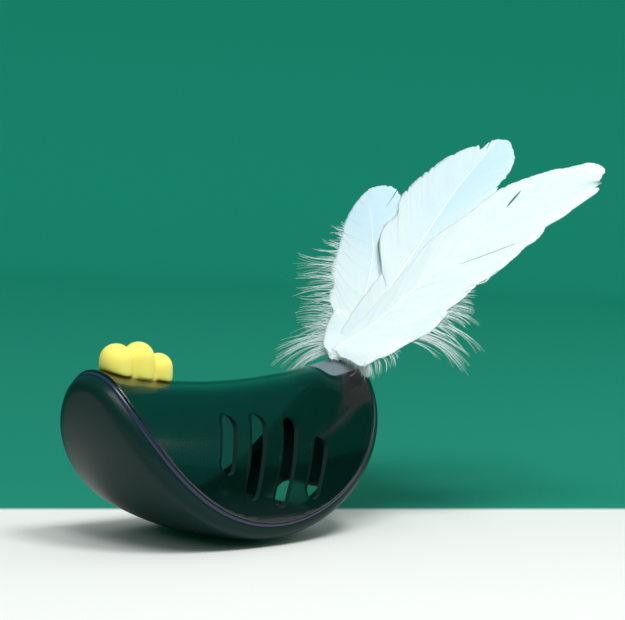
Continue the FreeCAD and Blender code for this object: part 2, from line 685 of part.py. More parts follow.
feather_long = feather("long", "sizes.layer_spacing")
feather_middle = feather("middle", "0")
feather_short = feather("short", "-sizes.layer_spacing")
DOWN_LAYER = "sizes.layer_spacing + sizes.quill_radius + sizes.down_gap + sizes.down_thickness / 2"
down_left = vane("down_left", "sizes.down_thickness", DOWN_LAYER)
down_right = vane("down_right", "sizes.down_thickness", DOWN_LAYER)
down_front = vane("down_front", "sizes.down_thickness", DOWN_LAYER + " + sizes.down_gap + sizes.down_thickness")

FERRULE_FOOT = "sizes.ferrule_top - sizes.ferrule_length"
ferrule_rod = along_fan("ferrule_rod", "sizes.ferrule_radius", FERRULE_FOOT, "sizes.ferrule_top")
ferrule_bore = along_fan("ferrule_bore", "sizes.ferrule_radius - sizes.ferrule_wall", "-sizes.quill_depth",
                         "sizes.ferrule_top + 1")
feather_ferrule = cut("feather_ferrule", ferrule_rod, ferrule_bore)

NODES = {
    "base_shell": base_shell,
    "smoke_cover": smoke_cover,
    "crest_plug": crest_plug,
    "feather_seat": feather_seat,
    "ballast": ballast,
    "ballast_tray": ballast_tray,
    "tray_screws": tray_screws,
    "feather_ferrule": feather_ferrule,
    "feather_long": feather_long,
    "feather_middle": feather_middle,
    "feather_short": feather_short,
    "down_left": down_left,
    "down_right": down_right,
    "down_front": down_front,
}
for node, item in NODES.items():
    item.Label = node
doc.recompute()

for item in doc.Objects:
    if "Invalid" in item.State or "Error" in item.State:
        raise RuntimeError("%s is in state %s" % (item.Label, item.State))
os.makedirs("parts", exist_ok=True)
for node, item in NODES.items():
    shape = item.Shape
    if shape.isNull() or not shape.isValid() or not shape.Solids:
        raise RuntimeError(node + " has no valid solid")
    box = shape.BoundBox
    print("%-16s %2d solid %4d faces %10.1f mm3  x %.1f..%.1f  y %.1f..%.1f  z %.1f..%.1f" % (
        node, len(shape.Solids), len(shape.Faces), shape.Volume,
        box.XMin, box.XMax, box.YMin, box.YMax, box.ZMin, box.ZMax))
    shape.exportStep("parts/%s.step" % node)
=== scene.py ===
import bisect
import math
import random

import bmesh
import bpy
from mathutils import Matrix, Vector


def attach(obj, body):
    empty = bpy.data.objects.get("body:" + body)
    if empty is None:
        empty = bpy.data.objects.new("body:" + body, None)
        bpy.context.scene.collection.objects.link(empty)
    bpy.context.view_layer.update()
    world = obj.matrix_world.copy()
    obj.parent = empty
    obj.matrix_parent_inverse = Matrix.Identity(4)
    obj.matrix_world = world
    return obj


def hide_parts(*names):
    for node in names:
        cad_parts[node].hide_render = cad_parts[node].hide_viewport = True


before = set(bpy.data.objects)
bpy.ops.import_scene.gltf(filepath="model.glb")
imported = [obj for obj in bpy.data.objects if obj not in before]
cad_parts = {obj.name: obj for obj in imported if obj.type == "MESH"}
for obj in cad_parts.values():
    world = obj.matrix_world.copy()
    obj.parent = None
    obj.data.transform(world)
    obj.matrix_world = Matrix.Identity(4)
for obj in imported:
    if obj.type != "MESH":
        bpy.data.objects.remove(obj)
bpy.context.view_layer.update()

bl_info = {
    "name": "Rocking treat toy with feathers",
    "version": (1, 0, 0),
    "blender": (4, 5, 0),
    "location": "3D View > Sidebar > Treat toy",
    "description": "Dresses the rocking treat toy: base, smoke cover, crest, feather seat and feather bundle",
    "category": "Object",
}

MM = 0.001

# The feather fan, in millimetres: its plane holds the Y axis and leans back from the socket's mouth. Its
# layers stand twice as far apart at the parting height, and bend back with the square of the height.
FAN_LEAN = math.radians(46.0)
MOUTH = Vector((57.0, 0.0, 63.46))
PIVOT_HEIGHT = 3.0
FAN_UP = Vector((math.cos(FAN_LEAN), 0.0, math.sin(FAN_LEAN)))
FAN_LEFT = Vector((0.0, 1.0, 0.0))
FAN_FRONT = Vector((-math.sin(FAN_LEAN), 0.0, math.cos(FAN_LEAN)))
FAN_PARTING = 110.0
FAN_BEND = 0.00012

# The stretch of the cover that holds the slots, in metres, without its strip along the middle. The walls of
# its slots are painted dark as painted shade.
SLOTS_X = (-0.030, 0.040)
SLOTS_Z = (0.012, 0.050)
MIDDLE_STRIP = 0.008

# The photograph's camera, in metres.
CAMERA_PLACE = Vector((-0.51162, -0.57694, 0.14005))
CAMERA_AIM = Vector((0.6916, 0.7188, -0.0709)).normalized()
CAMERA_RIGHT = Vector((0.7219, -0.6910, 0.0371))

# The pale part of the floor ends along a level line behind the toy, and at a ring round it, in metres.
# The backdrop's paint beyond them grows lighter over the wall's ring.
AWAY_FROM_TOY = (0.5195, 0.8545, 0.0)
PALE_EDGE = (0.0503, 0.0583)
PALE_RING = (0.34, 0.50)
WALL_RING = (0.15, 1.6)
WALL_LIGHT = (0.66, 1.15)


def fan_point(left, up, front):
    """A point of the fan in millimetres: to the left, up the fan and in front of its plane."""
    return (MOUTH + FAN_LEFT * left + FAN_UP * up + FAN_FRONT * front) * MM


# Settings

class BodySettings(bpy.types.PropertyGroup):
    """The colours of the rocker and the crest, and the bead's size"""
    # The base's colour is a dark navy pushed towards green: the green is painted reflection of the green
    # backdrop.
    base: bpy.props.FloatVectorProperty(
        name="Base", description="Colour of the moulded rocker base", subtype="COLOR", size=3,
        default=(0.004, 0.024, 0.021))
    lip: bpy.props.FloatVectorProperty(
        name="Lip", description="Colour of the bead along the base's rim", subtype="COLOR", size=3,
        default=(0.016, 0.022, 0.065))
    lip_radius: bpy.props.FloatProperty(
        name="Lip radius", description="Radius of the bead along the base's rim", default=0.001,
        unit="LENGTH")
    cover: bpy.props.FloatVectorProperty(
        name="Cover", description="Tint of the smoke cover, taken twice through each wall", subtype="COLOR",
        size=3, default=(0.32, 0.285, 0.32))
    # The slot walls' colour is painted shade: an opaque dark green where the clear edges look dark, in the
    # backdrop's green.
    cut: bpy.props.FloatVectorProperty(
        name="Slot walls", description="Colour of the walls of the cover's slots", subtype="COLOR", size=3,
        default=(0.010, 0.026, 0.024))
    crest: bpy.props.FloatVectorProperty(
        name="Crest", description="Colour of the soft crest", subtype="COLOR", size=3,
        default=(1.0, 0.83, 0.17))
    # The seat's colour is partly its own grey and partly painted sheen: it is lightened to slate for the
    # light from above.
    seat: bpy.props.FloatVectorProperty(
        name="Feather seat", description="Colour of the insert that holds the feathers", subtype="COLOR",
        size=3, default=(0.155, 0.20, 0.23))
    tray: bpy.props.FloatVectorProperty(
        name="Tray", description="Colour of the tray over the ballast", subtype="COLOR", size=3,
        default=(0.03, 0.035, 0.045))


class CrestSettings(bpy.types.PropertyGroup):
    """How soft the crest looks"""
    cell: bpy.props.FloatProperty(
        name="Cell", description="Cell size of the soft crest's mesh", default=0.0004, unit="LENGTH")
    softness: bpy.props.IntProperty(
        name="Softness", description="How often the crest's mesh is smoothed", default=36, min=0, max=60)


class FeatherSettings(bpy.types.PropertyGroup):
    """The feathers' colours and sizes"""
    white: bpy.props.FloatVectorProperty(
        name="Vane", description="Colour of the feathers' vanes", subtype="COLOR", size=3,
        default=(0.94, 0.94, 0.95))
    shade: bpy.props.FloatVectorProperty(
        name="Vane streaks", description="Colour of the streaks in the vanes", subtype="COLOR", size=3,
        default=(0.87, 0.89, 0.925))
    # The cool colour is painted shade on the vanes turned from the light.
    cool_shade: bpy.props.FloatVectorProperty(
        name="Cool vane", description="Colour of the vanes that turn from the light, where their tint is 1",
        subtype="COLOR", size=3, default=(0.65, 0.80, 0.95))
    # The down's colour is white with a green-cyan cast: the cast is painted light of the green backdrop
    # through the fine barbs.
    down: bpy.props.FloatVectorProperty(
        name="Down", description="Colour of the loose barbs of down", subtype="COLOR", size=3,
        default=(0.88, 0.96, 0.97))
    shaft: bpy.props.FloatVectorProperty(
        name="Shaft", description="Colour of the feathers' shafts", subtype="COLOR", size=3,
        default=(0.92, 0.93, 0.90))
    camber: bpy.props.FloatProperty(
        name="Camber", description="How far a vane's edges curve back, for each unit of its half width",
        default=0.03, min=0.0, max=0.4)
    vane_depth: bpy.props.FloatProperty(
        name="Vane thickness", description="Thickness of a vane", default=0.00018, unit="LENGTH")
    hair_radius: bpy.props.FloatProperty(
        name="Down barb radius", description="Radius of one barb of down", default=0.00013, unit="LENGTH")


class StageSettings(bpy.types.PropertyGroup):
    """The floor, the light and the lens"""
    floor: bpy.props.FloatVectorProperty(
        name="Floor", description="Colour of the pale floor round the toy", subtype="COLOR", size=3,
        default=(0.80, 0.82, 0.80))
    backdrop: bpy.props.FloatVectorProperty(
        name="Backdrop", description="Colour of the floor's far part and the wall", subtype="COLOR", size=3,
        default=(0.012, 0.36, 0.245))
    bowl_radius: bpy.props.FloatProperty(
        name="Floor radius", description="Radius of the flat floor", default=1.5, unit="LENGTH")
    sky: bpy.props.FloatProperty(
        name="Sky", description="Strength of the even light from all round", default=0.5)
    lens: bpy.props.FloatProperty(
        name="Lens", description="Focal length of the camera", default=119.63, unit="CAMERA")


# Materials

def surface(name, colour, roughness, **sockets):
    """A material of one shader whose sockets hold plain values."""
    material = bpy.data.materials.new(name)
    material.use_nodes = True
    shader = material.node_tree.nodes["Principled BSDF"]
    shader.inputs["Base Color"].default_value = (*colour, 1.0)
    shader.inputs["Roughness"].default_value = roughness
    for socket, value in sockets.items():
        shader.inputs[socket.replace("_", " ")].default_value = value
    return material


def add_bump(material, strength, distance, build):
    """Adds a bump whose height comes from the nodes that build makes."""
    tree = material.node_tree
    bump = tree.nodes.new("ShaderNodeBump")
    bump.inputs["Strength"].default_value = strength
    bump.inputs["Distance"].default_value = distance
    tree.links.new(build(tree), bump.inputs["Height"])
    tree.links.new(bump.outputs["Normal"], tree.nodes["Principled BSDF"].inputs["Normal"])


def ramp(tree, value, start, end, soft=False):
    """Maps a value's range to another, both given as pairs."""
    node = tree.nodes.new("ShaderNodeMapRange")
    if soft:
        node.interpolation_type = "SMOOTHSTEP"
    node.inputs["From Min"].default_value, node.inputs["From Max"].default_value = start
    node.inputs["To Min"].default_value, node.inputs["To Max"].default_value = end
    tree.links.new(value, node.inputs["Value"])
    return node.outputs["Result"]


def blend(tree, factor, low, high):
    """Mixes two colours, each a plain value or another node's output."""
    node = tree.nodes.new("ShaderNodeMix")
    node.data_type = "RGBA"
    tree.links.new(factor, node.inputs["Factor"])
    for socket, colour in (("A", low), ("B", high)):
        if isinstance(colour, bpy.types.NodeSocket):
            tree.links.new(colour, node.inputs[socket])
        else:
            node.inputs[socket].default_value = (*colour, 1.0)
    return node.outputs["Result"]


def larger(tree, first, second):
    """The larger of two values."""
    node = tree.nodes.new("ShaderNodeMath")
    node.operation = "MAXIMUM"
    tree.links.new(first, node.inputs[0])
    tree.links.new(second, node.inputs[1])
    return node.outputs["Value"]


def fine_grain(scale):
    """Height nodes for a fine moulded grain on Object coordinates."""
    def build(tree):
        place = tree.nodes.new("ShaderNodeTexCoord")
        noise = tree.nodes.new("ShaderNodeTexNoise")
        noise.inputs["Scale"].default_value = scale
        noise.inputs["Detail"].default_value = 3.0
        tree.links.new(place.outputs["Object"], noise.inputs["Vector"])
        return noise.outputs["Fac"]
    return build


def barb_lines(tree):
    """Height nodes for the fine lines of the barbs, which follow the vane's own map."""
    place = tree.nodes.new("ShaderNodeUVMap")
    place.uv_map = "barbs"
    wave = tree.nodes.new("ShaderNodeTexWave")
    wave.wave_type = "BANDS"
    wave.bands_direction = "X"
    wave.inputs["Scale"].default_value = 40.0
    wave.inputs["Distortion"].default_value = 1.2
    wave.inputs["Detail"].default_value = 2.0
    tree.links.new(place.outputs["UV"], wave.inputs["Vector"])
    return wave.outputs["Fac"]


def base_plastic():
    """Dark satin plastic with a very fine grain, its navy colour pushed towards green as painted reflection
    of the green backdrop.
    """
    body = bpy.context.scene.toy_body
    material = surface("navy_satin_painted_green_reflection", body.base, 0.33, Specular_IOR_Level=0.12)
    add_bump(material, 0.02, 0.0002, fine_grain(2600.0))
    return material


def smoke_plastic():
    """Clear plastic with a smoke tint."""
    body = bpy.context.scene.toy_body
    return surface("clear_smoke", body.cover, 0.11, Transmission_Weight=1.0, IOR=1.49)


def crest_rubber():
    """Soft matt yellow rubber."""
    body = bpy.context.scene.toy_body
    material = surface("soft_yellow", body.crest, 0.62, Subsurface_Weight=0.5, Subsurface_Scale=0.006,
                       Specular_IOR_Level=0.35)
    add_bump(material, 0.05, 0.0002, fine_grain(1800.0))
    return material


def seat_plastic():
    """Grey satin plastic of the seat and of the ferrule in it, its colour lightened to slate as painted sheen
    of the light from above.
    """
    body = bpy.context.scene.toy_body
    material = surface("slate_satin_painted_sheen", body.seat, 0.38)
    add_bump(material, 0.05, 0.0002, fine_grain(2200.0))
    return material


def vane_keratin():
    """White barbs with faint streaks along them, turned cool where the vane's painted shade says so: painted
    shade of the vanes turned from the light.
    """
    feathers = bpy.context.scene.toy_feathers
    material = surface("feather_vane", feathers.white, 0.6, Specular_IOR_Level=0.25,
                       Subsurface_Weight=0.35, Subsurface_Scale=0.002)
    add_bump(material, 0.12, 0.0002, barb_lines)
    tree = material.node_tree
    place = tree.nodes.new("ShaderNodeUVMap")
    place.uv_map = "barbs"
    stretch = tree.nodes.new("ShaderNodeVectorMath")
    stretch.operation = "MULTIPLY"
    stretch.inputs[1].default_value = (26.0, 2.2, 1.0)
    streaks = tree.nodes.new("ShaderNodeTexNoise")
    streaks.inputs["Scale"].default_value = 1.0
    streaks.inputs["Detail"].default_value = 4.0
    tint = tree.nodes.new("ShaderNodeAttribute")
    tint.attribute_name = "tint"
    tree.links.new(place.outputs["UV"], stretch.inputs[0])
    tree.links.new(stretch.outputs["Vector"], streaks.inputs["Vector"])
    spread = ramp(tree, streaks.outputs["Fac"], (0.32, 0.56), (0.0, 1.0))
    streaked = blend(tree, spread, feathers.shade, feathers.white)
    # Painted shade: the vanes turned from the light are mixed towards the cool colour.
    cool_shaded = blend(tree, tint.outputs["Fac"], streaked, feathers.cool_shade)
    tree.links.new(cool_shaded, tree.nodes["Principled BSDF"].inputs["Base Color"])
    return material


def floor_paint():
    """Pale round the toy, and of the backdrop's colour behind it and further off."""
    settings = bpy.context.scene.toy_stage
    material = surface("pale_floor", settings.floor, 0.8, Specular_IOR_Level=0.15)
    tree = material.node_tree
    place = tree.nodes.new("ShaderNodeTexCoord")
    behind = tree.nodes.new("ShaderNodeVectorMath")
    behind.operation = "DOT_PRODUCT"
    behind.inputs[1].default_value = AWAY_FROM_TOY
    around = tree.nodes.new("ShaderNodeVectorMath")
    around.operation = "LENGTH"
    wall = tree.nodes.new("ShaderNodeVectorMath")
    wall.operation = "SCALE"
    wall.inputs[0].default_value = settings.backdrop
    tree.links.new(place.outputs["Object"], behind.inputs[0])
    tree.links.new(place.outputs["Object"], around.inputs[0])
    past_edge = ramp(tree, behind.outputs["Value"], PALE_EDGE, (0.0, 1.0), soft=True)
    past_ring = ramp(tree, around.outputs["Value"], PALE_RING, (0.0, 1.0), soft=True)
    tree.links.new(ramp(tree, around.outputs["Value"], WALL_RING, WALL_LIGHT), wall.inputs["Scale"])
    paint = blend(tree, larger(tree, past_edge, past_ring), settings.floor, wall.outputs["Vector"])
    tree.links.new(paint, tree.nodes["Principled BSDF"].inputs["Base Color"])
    return material


# Meshes and pieces

def smooth_by_angle(mesh, limit):
    """Smooth faces, with an edge kept sharp where its faces meet at more than the limit."""
    for edge in mesh.edges:
        if len(edge.link_faces) == 2:
            edge.smooth = edge.calc_face_angle(0.0) < limit
    for face in mesh.faces:
        face.smooth = True


def finish_piece(name, mesh, material, body, nodes=()):
    """Makes an object of a bmesh, hangs it on its body and hides the frame's solids that it stands for."""
    data = bpy.data.meshes.new(name)
    mesh.to_mesh(data)
    mesh.free()
    piece = bpy.data.objects.new(name, data)
    bpy.context.scene.collection.objects.link(piece)
    data.materials.append(material)
    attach(piece, body)
    if nodes:
        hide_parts(*nodes)
    return piece


def solid_of(node):
    """A merged copy of a solid of the frame."""
    mesh = bmesh.new()
    mesh.from_mesh(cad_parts[node].data)
    bmesh.ops.remove_doubles(mesh, verts=mesh.verts, dist=1e-7)
    return mesh


def skin_of(node, name, material, body, limit=24.0, edge=0.0):
    """A smooth-shaded copy of a solid of the frame, whose sharp edges may be rounded a little."""
    mesh = solid_of(node)
    if edge > 0.0:
        sharp = [item for item in mesh.edges if len(item.link_faces) == 2
                 and item.calc_face_angle(0.0) > math.radians(40.0)]
        bmesh.ops.bevel(mesh, geom=sharp, offset=edge, offset_type="OFFSET", affect="EDGES", segments=2,
                        profile=0.5, material=-1, clamp_overlap=True)
    smooth_by_angle(mesh, math.radians(limit))
    return finish_piece(name, mesh, material, body, (node,))


# Lines and tubes

class Line:
    """A smooth line through a few points, read by its share of the length."""

    def __init__(self, points):
        points = [Vector(point) for point in points]
        ends = [points[0]] + points + [points[-1]]
        self.points = []
        for before, start, end, after in zip(ends, ends[1:], ends[2:], ends[3:]):
            for step in range(10):
                t = step / 10
                bend = (2.0 * before - 5.0 * start + 4.0 * end - after) * t * t
                twist = (3.0 * start - before - 3.0 * end + after) * t ** 3
                self.points.append(0.5 * (2.0 * start + (end - before) * t + bend + twist))
        self.points.append(points[-1])
        self.marks = [0.0]
        for start, end in zip(self.points, self.points[1:]):
            self.marks.append(self.marks[-1] + (end - start).length)

    def at(self, share):
        """The point at a share of the length, from 0 to 1."""
        wanted = min(max(share, 0.0), 1.0) * self.marks[-1]
        index = min(max(bisect.bisect_right(self.marks, wanted) - 1, 0), len(self.points) - 2)
        part = (wanted - self.marks[index]) / max(self.marks[index + 1] - self.marks[index], 1e-9)
        return self.points[index].lerp(self.points[index + 1], part)

    def heading(self, share):
        """The direction of the line at a share of its length."""
        return (self.at(share + 0.01) - self.at(share - 0.01)).normalized()


def tubes(name, lines, material, body, nodes=(), sides=0):
    """Thin tapered tubes along lines of (point, radius), as one mesh."""
    curve = bpy.data.curves.new(name + "_path", "CURVE")
    curve.dimensions = "3D"
    curve.bevel_depth = 1.0
    curve.bevel_resolution = sides
    curve.use_fill_caps = True
    for points in lines:
        spline = curve.splines.new("POLY")
        spline.points.add(len(points) - 1)
        for target, (point, radius) in zip(spline.points, points):
            target.co = (*point, 1.0)
            target.radius = radius
    holder = bpy.data.objects.new(name + "_path", curve)
    bpy.context.scene.collection.objects.link(holder)
    bpy.context.view_layer.update()
    data = bpy.data.meshes.new_from_object(holder.evaluated_get(bpy.context.evaluated_depsgraph_get()))
    bpy.data.objects.remove(holder)
    bpy.data.curves.remove(curve)
    mesh = bmesh.new()
    mesh.from_mesh(data)
    bpy.data.meshes.remove(data)
    for face in mesh.faces:
        face.smooth = True
    return finish_piece(name, mesh, material, body, nodes)


# The body's pieces, on the frame's own solids

def sharp_loops(mesh, limit):
    """The chains of a mesh's sharp edges, each a list of vertices in order."""
    sharp = dict.fromkeys(edge for edge in mesh.edges
                          if len(edge.link_faces) == 2 and edge.calc_face_angle(0.0) > limit)
    loops = []
    while sharp:
        edge = next(iter(sharp))
        del sharp[edge]
        chain = list(edge.verts)
        while True:
            following = [item for item in chain[-1].link_edges if item in sharp]
            if not following:
                break
            del sharp[following[0]]
            chain.append(following[0].other_vert(chain[-1]))
        loops.append(chain)
    return loops


class TOY_OT_base(bpy.types.Operator):
    """The rocker base, and the bead along its rim"""
    bl_idname = "toy.base"
    bl_label = "Base"

    def execute(self, context):
        body = context.scene.toy_body
        skin_of("base_shell", "rocker_base", base_plastic(), "rocker", edge=0.0003)
        mesh = solid_of("base_shell")
        closed = [chain for chain in sharp_loops(mesh, math.radians(30.0)) if chain[0] is chain[-1]]
        widest = max(closed, key=lambda chain: max(vert.co.y for vert in chain))
        rim = Line([vert.co for vert in widest])
        mesh.free()
        steps = 600
        bead = [(rim.at(step / steps), body.lip_radius) for step in range(steps + 1)]
        tubes("rim_bead", [bead], surface("blue_gloss", body.lip, 0.2), "rocker", sides=2)
        return {"FINISHED"}


class TOY_OT_cover(bpy.types.Operator):
    """The smoke cover with its slots, whose walls are painted dark green as painted shade"""
    bl_idname = "toy.cover"
    bl_label = "Smoke cover"

    def execute(self, context):
        body = context.scene.toy_body
        cover = skin_of("smoke_cover", "treat_cover", smoke_plastic(), "rocker")
        # The slot walls take an opaque dark green as painted shade where the clear edges look dark.
        cover.data.materials.append(surface("slot_wall_painted_shade", body.cut, 0.3, Specular_IOR_Level=0.35))
        for face in cover.data.polygons:
            x, y, z = face.center
            near = SLOTS_X[0] < x < SLOTS_X[1] and SLOTS_Z[0] < z < SLOTS_Z[1] and abs(y) > MIDDLE_STRIP
            if near and abs(face.normal.y) < 0.12:
                face.material_index = 1
        return {"FINISHED"}


class TOY_OT_seat(bpy.types.Operator):
    """The insert that holds the feathers, with its socket"""
    bl_idname = "toy.seat"
    bl_label = "Feather seat"

    def execute(self, context):
        skin_of("feather_seat", "feather_insert", seat_plastic(), "rocker")
        return {"FINISHED"}


class TOY_OT_inside(bpy.types.Operator):
    """The ballast, the tray over it and the tray's screws"""
    bl_idname = "toy.inside"
    bl_label = "Ballast and tray"

    def execute(self, context):
        body = context.scene.toy_body
        iron = surface("cast_weight", (0.09, 0.09, 0.09), 0.6, Metallic=0.8)
        tray = surface("tray_plastic", body.tray, 0.4)
        steel = surface("plated_steel", (0.62, 0.62, 0.60), 0.28, Metallic=1.0)
        skin_of("ballast", "cast_ballast", iron, "rocker")
        skin_of("ballast_tray", "treat_tray", tray, "rocker")
        skin_of("tray_screws", "pan_screws", steel, "rocker")
        return {"FINISHED"}


class TOY_OT_crest(bpy.types.Operator):
    """The soft crest of three lobes, on the stem that stops the fill hole"""
    bl_idname = "toy.crest"
    bl_label = "Crest"

    def execute(self, context):
        settings = context.scene.toy_crest
        mesh = solid_of("crest_plug")
        rough = bpy.data.meshes.new("crest_rough")
        mesh.to_mesh(rough)
        mesh.free()
        holder = bpy.data.objects.new("crest_rough", rough)
        context.scene.collection.objects.link(holder)
        remesh = holder.modifiers.new("grid", "REMESH")
        remesh.mode = "VOXEL"
        remesh.voxel_size = settings.cell
        melt = holder.modifiers.new("melt", "SMOOTH")
        melt.factor = 0.5
        melt.iterations = settings.softness
        context.view_layer.update()
        soft = bpy.data.meshes.new_from_object(holder.evaluated_get(context.evaluated_depsgraph_get()))
        bpy.data.objects.remove(holder)
        bpy.data.meshes.remove(rough)
        mesh = bmesh.new()
        mesh.from_mesh(soft)
        bpy.data.meshes.remove(soft)
        for face in mesh.faces:
            face.smooth = True
        finish_piece("crest_stopper", mesh, crest_rubber(), "crest", ("crest_plug",))
        return {"FINISHED"}


# Feathers

class Feather:
    """One feather, in millimetres across (left is positive) and along from its pivot in the fan.

    The sides are 1 for the left and -1 for the right. A split is its side, its share of the shaft, the
    stretch of the barbs that it opens, from the shaft at 0 to the rim at 1, and its half width. The lead
    is the angle at which barbs leave the shaft. The painted shades say how much cool painted shade the
    left and the right half take on towards the tip, where they turn from the light, and the lift brings
    the feather's foot forward.
    """

    def __init__(self, name, turn, layer, shaft, left, right, splits, lead, painted_shades, lift=0.0, rows=260,
                 columns=28):
        self.name = name
        self.turn = math.radians(turn)
        self.layer = layer
        self.shaft = Line(shaft)
        self.rims = {1: Line(left), -1: Line(right)}
        self.splits = splits
        self.lead = math.radians(lead)
        self.painted_shades = {1: painted_shades[0], -1: painted_shades[1]}
        self.lift = lift
        self.rows = rows
        self.columns = columns

    def place(self, across, along, back=0.0):
        """From the feather's own plane to the frame, in metres."""
        left = across * math.cos(self.turn) + along * math.sin(self.turn)
        up = PIVOT_HEIGHT + along * math.cos(self.turn) - across * math.sin(self.turn)
        rise = self.lift * math.exp(-(max(up, 0.0) / 9.0) ** 2)
        return fan_point(left, up, fan_depth(self.layer, up) + rise - back)

    def rim_share(self, side, share):
        """How far along the rim the barb ends that leaves the shaft at this share.

        The ends are drawn in at the feather's foot, and run out to the rim's end at its tip.
        """
        foot = self.shaft.at(share)
        heading = self.shaft.heading(share)
        rim = self.rims[side]
        steps = 160
        for step in range(steps + 1):
            reach = rim.at(step / steps) - foot
            if reach.length > 0.5 and reach.angle(heading) < self.lead and reach.x * side > 0.0:
                break
        found = step / steps * min(1.0, share / 0.14) ** 0.8
        return found + (1.0 - found) * share ** 9


def fan_depth(layer, up):
    """The feathers part a little towards their tips, and lean back there."""
    up = max(up, 0.0)
    return layer * (1.0 + up / FAN_PARTING) - FAN_BEND * up * up


def eased(values, width):
    """Values that never fall, with their steps spread over their neighbours."""
    rising = [max(values[:index + 1]) for index in range(len(values))]
    last = len(rising) - 1
    for _ in range(width):
        middle = [(rising[i - 1] + rising[i] + rising[i + 1]) / 3.0 for i in range(1, last)]
        rising = [rising[0]] + middle + [rising[last]]
    return rising


def worn_edge(draw, rows):
    """For each row of barbs, how far its tip is worn back and how far it tilts, in tufts of any length."""
    edge = []
    while len(edge) <= rows:
        length = draw.randint(7, 26)
        notch = draw.uniform(0.0, 0.07) * draw.random()
        tilt = draw.uniform(0.05, 0.22)
        for step in range(length):
            inside = min(step, length - 1 - step)
            edge.append((notch * math.exp(-inside * inside / 3.0), tilt * (step / length - 0.5)))
    return edge


def barb_grid(feather):
    """A flat grid with a row for each pair of barbs, a map along them, and its splits cut open."""
    mesh = bmesh.new()
    bmesh.ops.create_grid(mesh, x_segments=feather.columns, y_segments=feather.rows, size=1.0)
    barbs = mesh.loops.layers.uv.new("barbs")
    for face in mesh.faces:
        for loop in face.loops:
            loop[barbs].uv = ((loop.vert.co.y + 1.0) / 2.0, (loop.vert.co.x + 1.0) / 2.0)
    for face in list(mesh.faces):
        centre = face.calc_center_median()
        row = int((centre.y + 1.0) / 2.0 * feather.rows)
        if any(row == round(share * feather.rows) and low < centre.x * side < high
               for side, share, low, high, _ in feather.splits):
            mesh.faces.remove(face)
    loose = [vert for vert in mesh.verts if not vert.link_faces]
    bmesh.ops.delete(mesh, geom=loose, context="VERTS")
    return mesh


def split_opening(feather, side, row, reach):
    """How far the splits push a point of a barb up or down the shaft."""
    opening = 0.0
    for split_side, share, low, high, gap in feather.splits:
        if split_side == side and low < reach < high:
            away = row - round(share * feather.rows) - 0.5
            part = (reach - low) / (high - low)
            shape = math.sin(math.pi * part) if high < 1.0 else part ** 1.3
            opening += math.copysign(gap * shape * math.exp(-abs(away) / 8.0), away)
    return opening


def vane_mesh(feather, camber, seed):
    """A vane of barbs: each row of the grid is one pair of barbs, from the shaft out to the rims."""
    draw = random.Random(seed)
    mesh = barb_grid(feather)
    tint = mesh.verts.layers.float.new("tint")
    rows = feather.rows
    ends = {side: eased([feather.rim_share(side, row / rows) for row in range(rows + 1)], 4)
            for side in (1, -1)}
    edges = {side: worn_edge(draw, rows) for side in (1, -1)}
    fuzz = [draw.uniform(-1.0, 1.0) for _ in range(rows + 1)]
    for vert in mesh.verts:
        share = (vert.co.y + 1.0) / 2.0
        row = int(round(share * rows))
        side = 1 if vert.co.x >= 0.0 else -1
        reach = abs(vert.co.x)
        foot = feather.shaft.at(share)
        heading = feather.shaft.heading(share)
        rim = feather.rims[side].at(ends[side][row])
        notch, tilt = edges[side][row]
        reach *= 1.0 - (notch + 0.006 * fuzz[row]) * reach ** 2
        span = (rim - foot).length
        bend = (foot + rim) / 2.0 - heading * 0.10 * span
        spot = foot * (1.0 - reach) ** 2 + bend * 2.0 * reach * (1.0 - reach) + rim * reach ** 2
        spot += heading * split_opening(feather, side, row, reach)
        vert.co = feather.place(spot.x, spot.y, camber * span * reach ** 2 + tilt * reach ** 1.5)
        # Painted shade: the cool painted shade grows from none at the foot to the side's full share towards
        # the tip.
        rise = min(max((share - 0.25) / 0.5, 0.0), 1.0)
        vert[tint] = feather.painted_shades[side] * rise * rise * (3.0 - 2.0 * rise)
    return mesh


def thicken(mesh, depth):
    """Gives a sheet of the fan a little thickness, so that it is closed."""
    bmesh.ops.remove_doubles(mesh, verts=mesh.verts, dist=1e-5)
    bmesh.ops.dissolve_degenerate(mesh, edges=mesh.edges, dist=1e-6)
    raised = bmesh.ops.extrude_face_region(mesh, geom=list(mesh.faces), use_keep_orig=True)
    front = [item for item in raised["geom"] if isinstance(item, bmesh.types.BMVert)]
    bmesh.ops.translate(mesh, verts=front, vec=FAN_FRONT * depth)
    bmesh.ops.recalc_face_normals(mesh, faces=mesh.faces)
    for face in mesh.faces:
        face.smooth = True


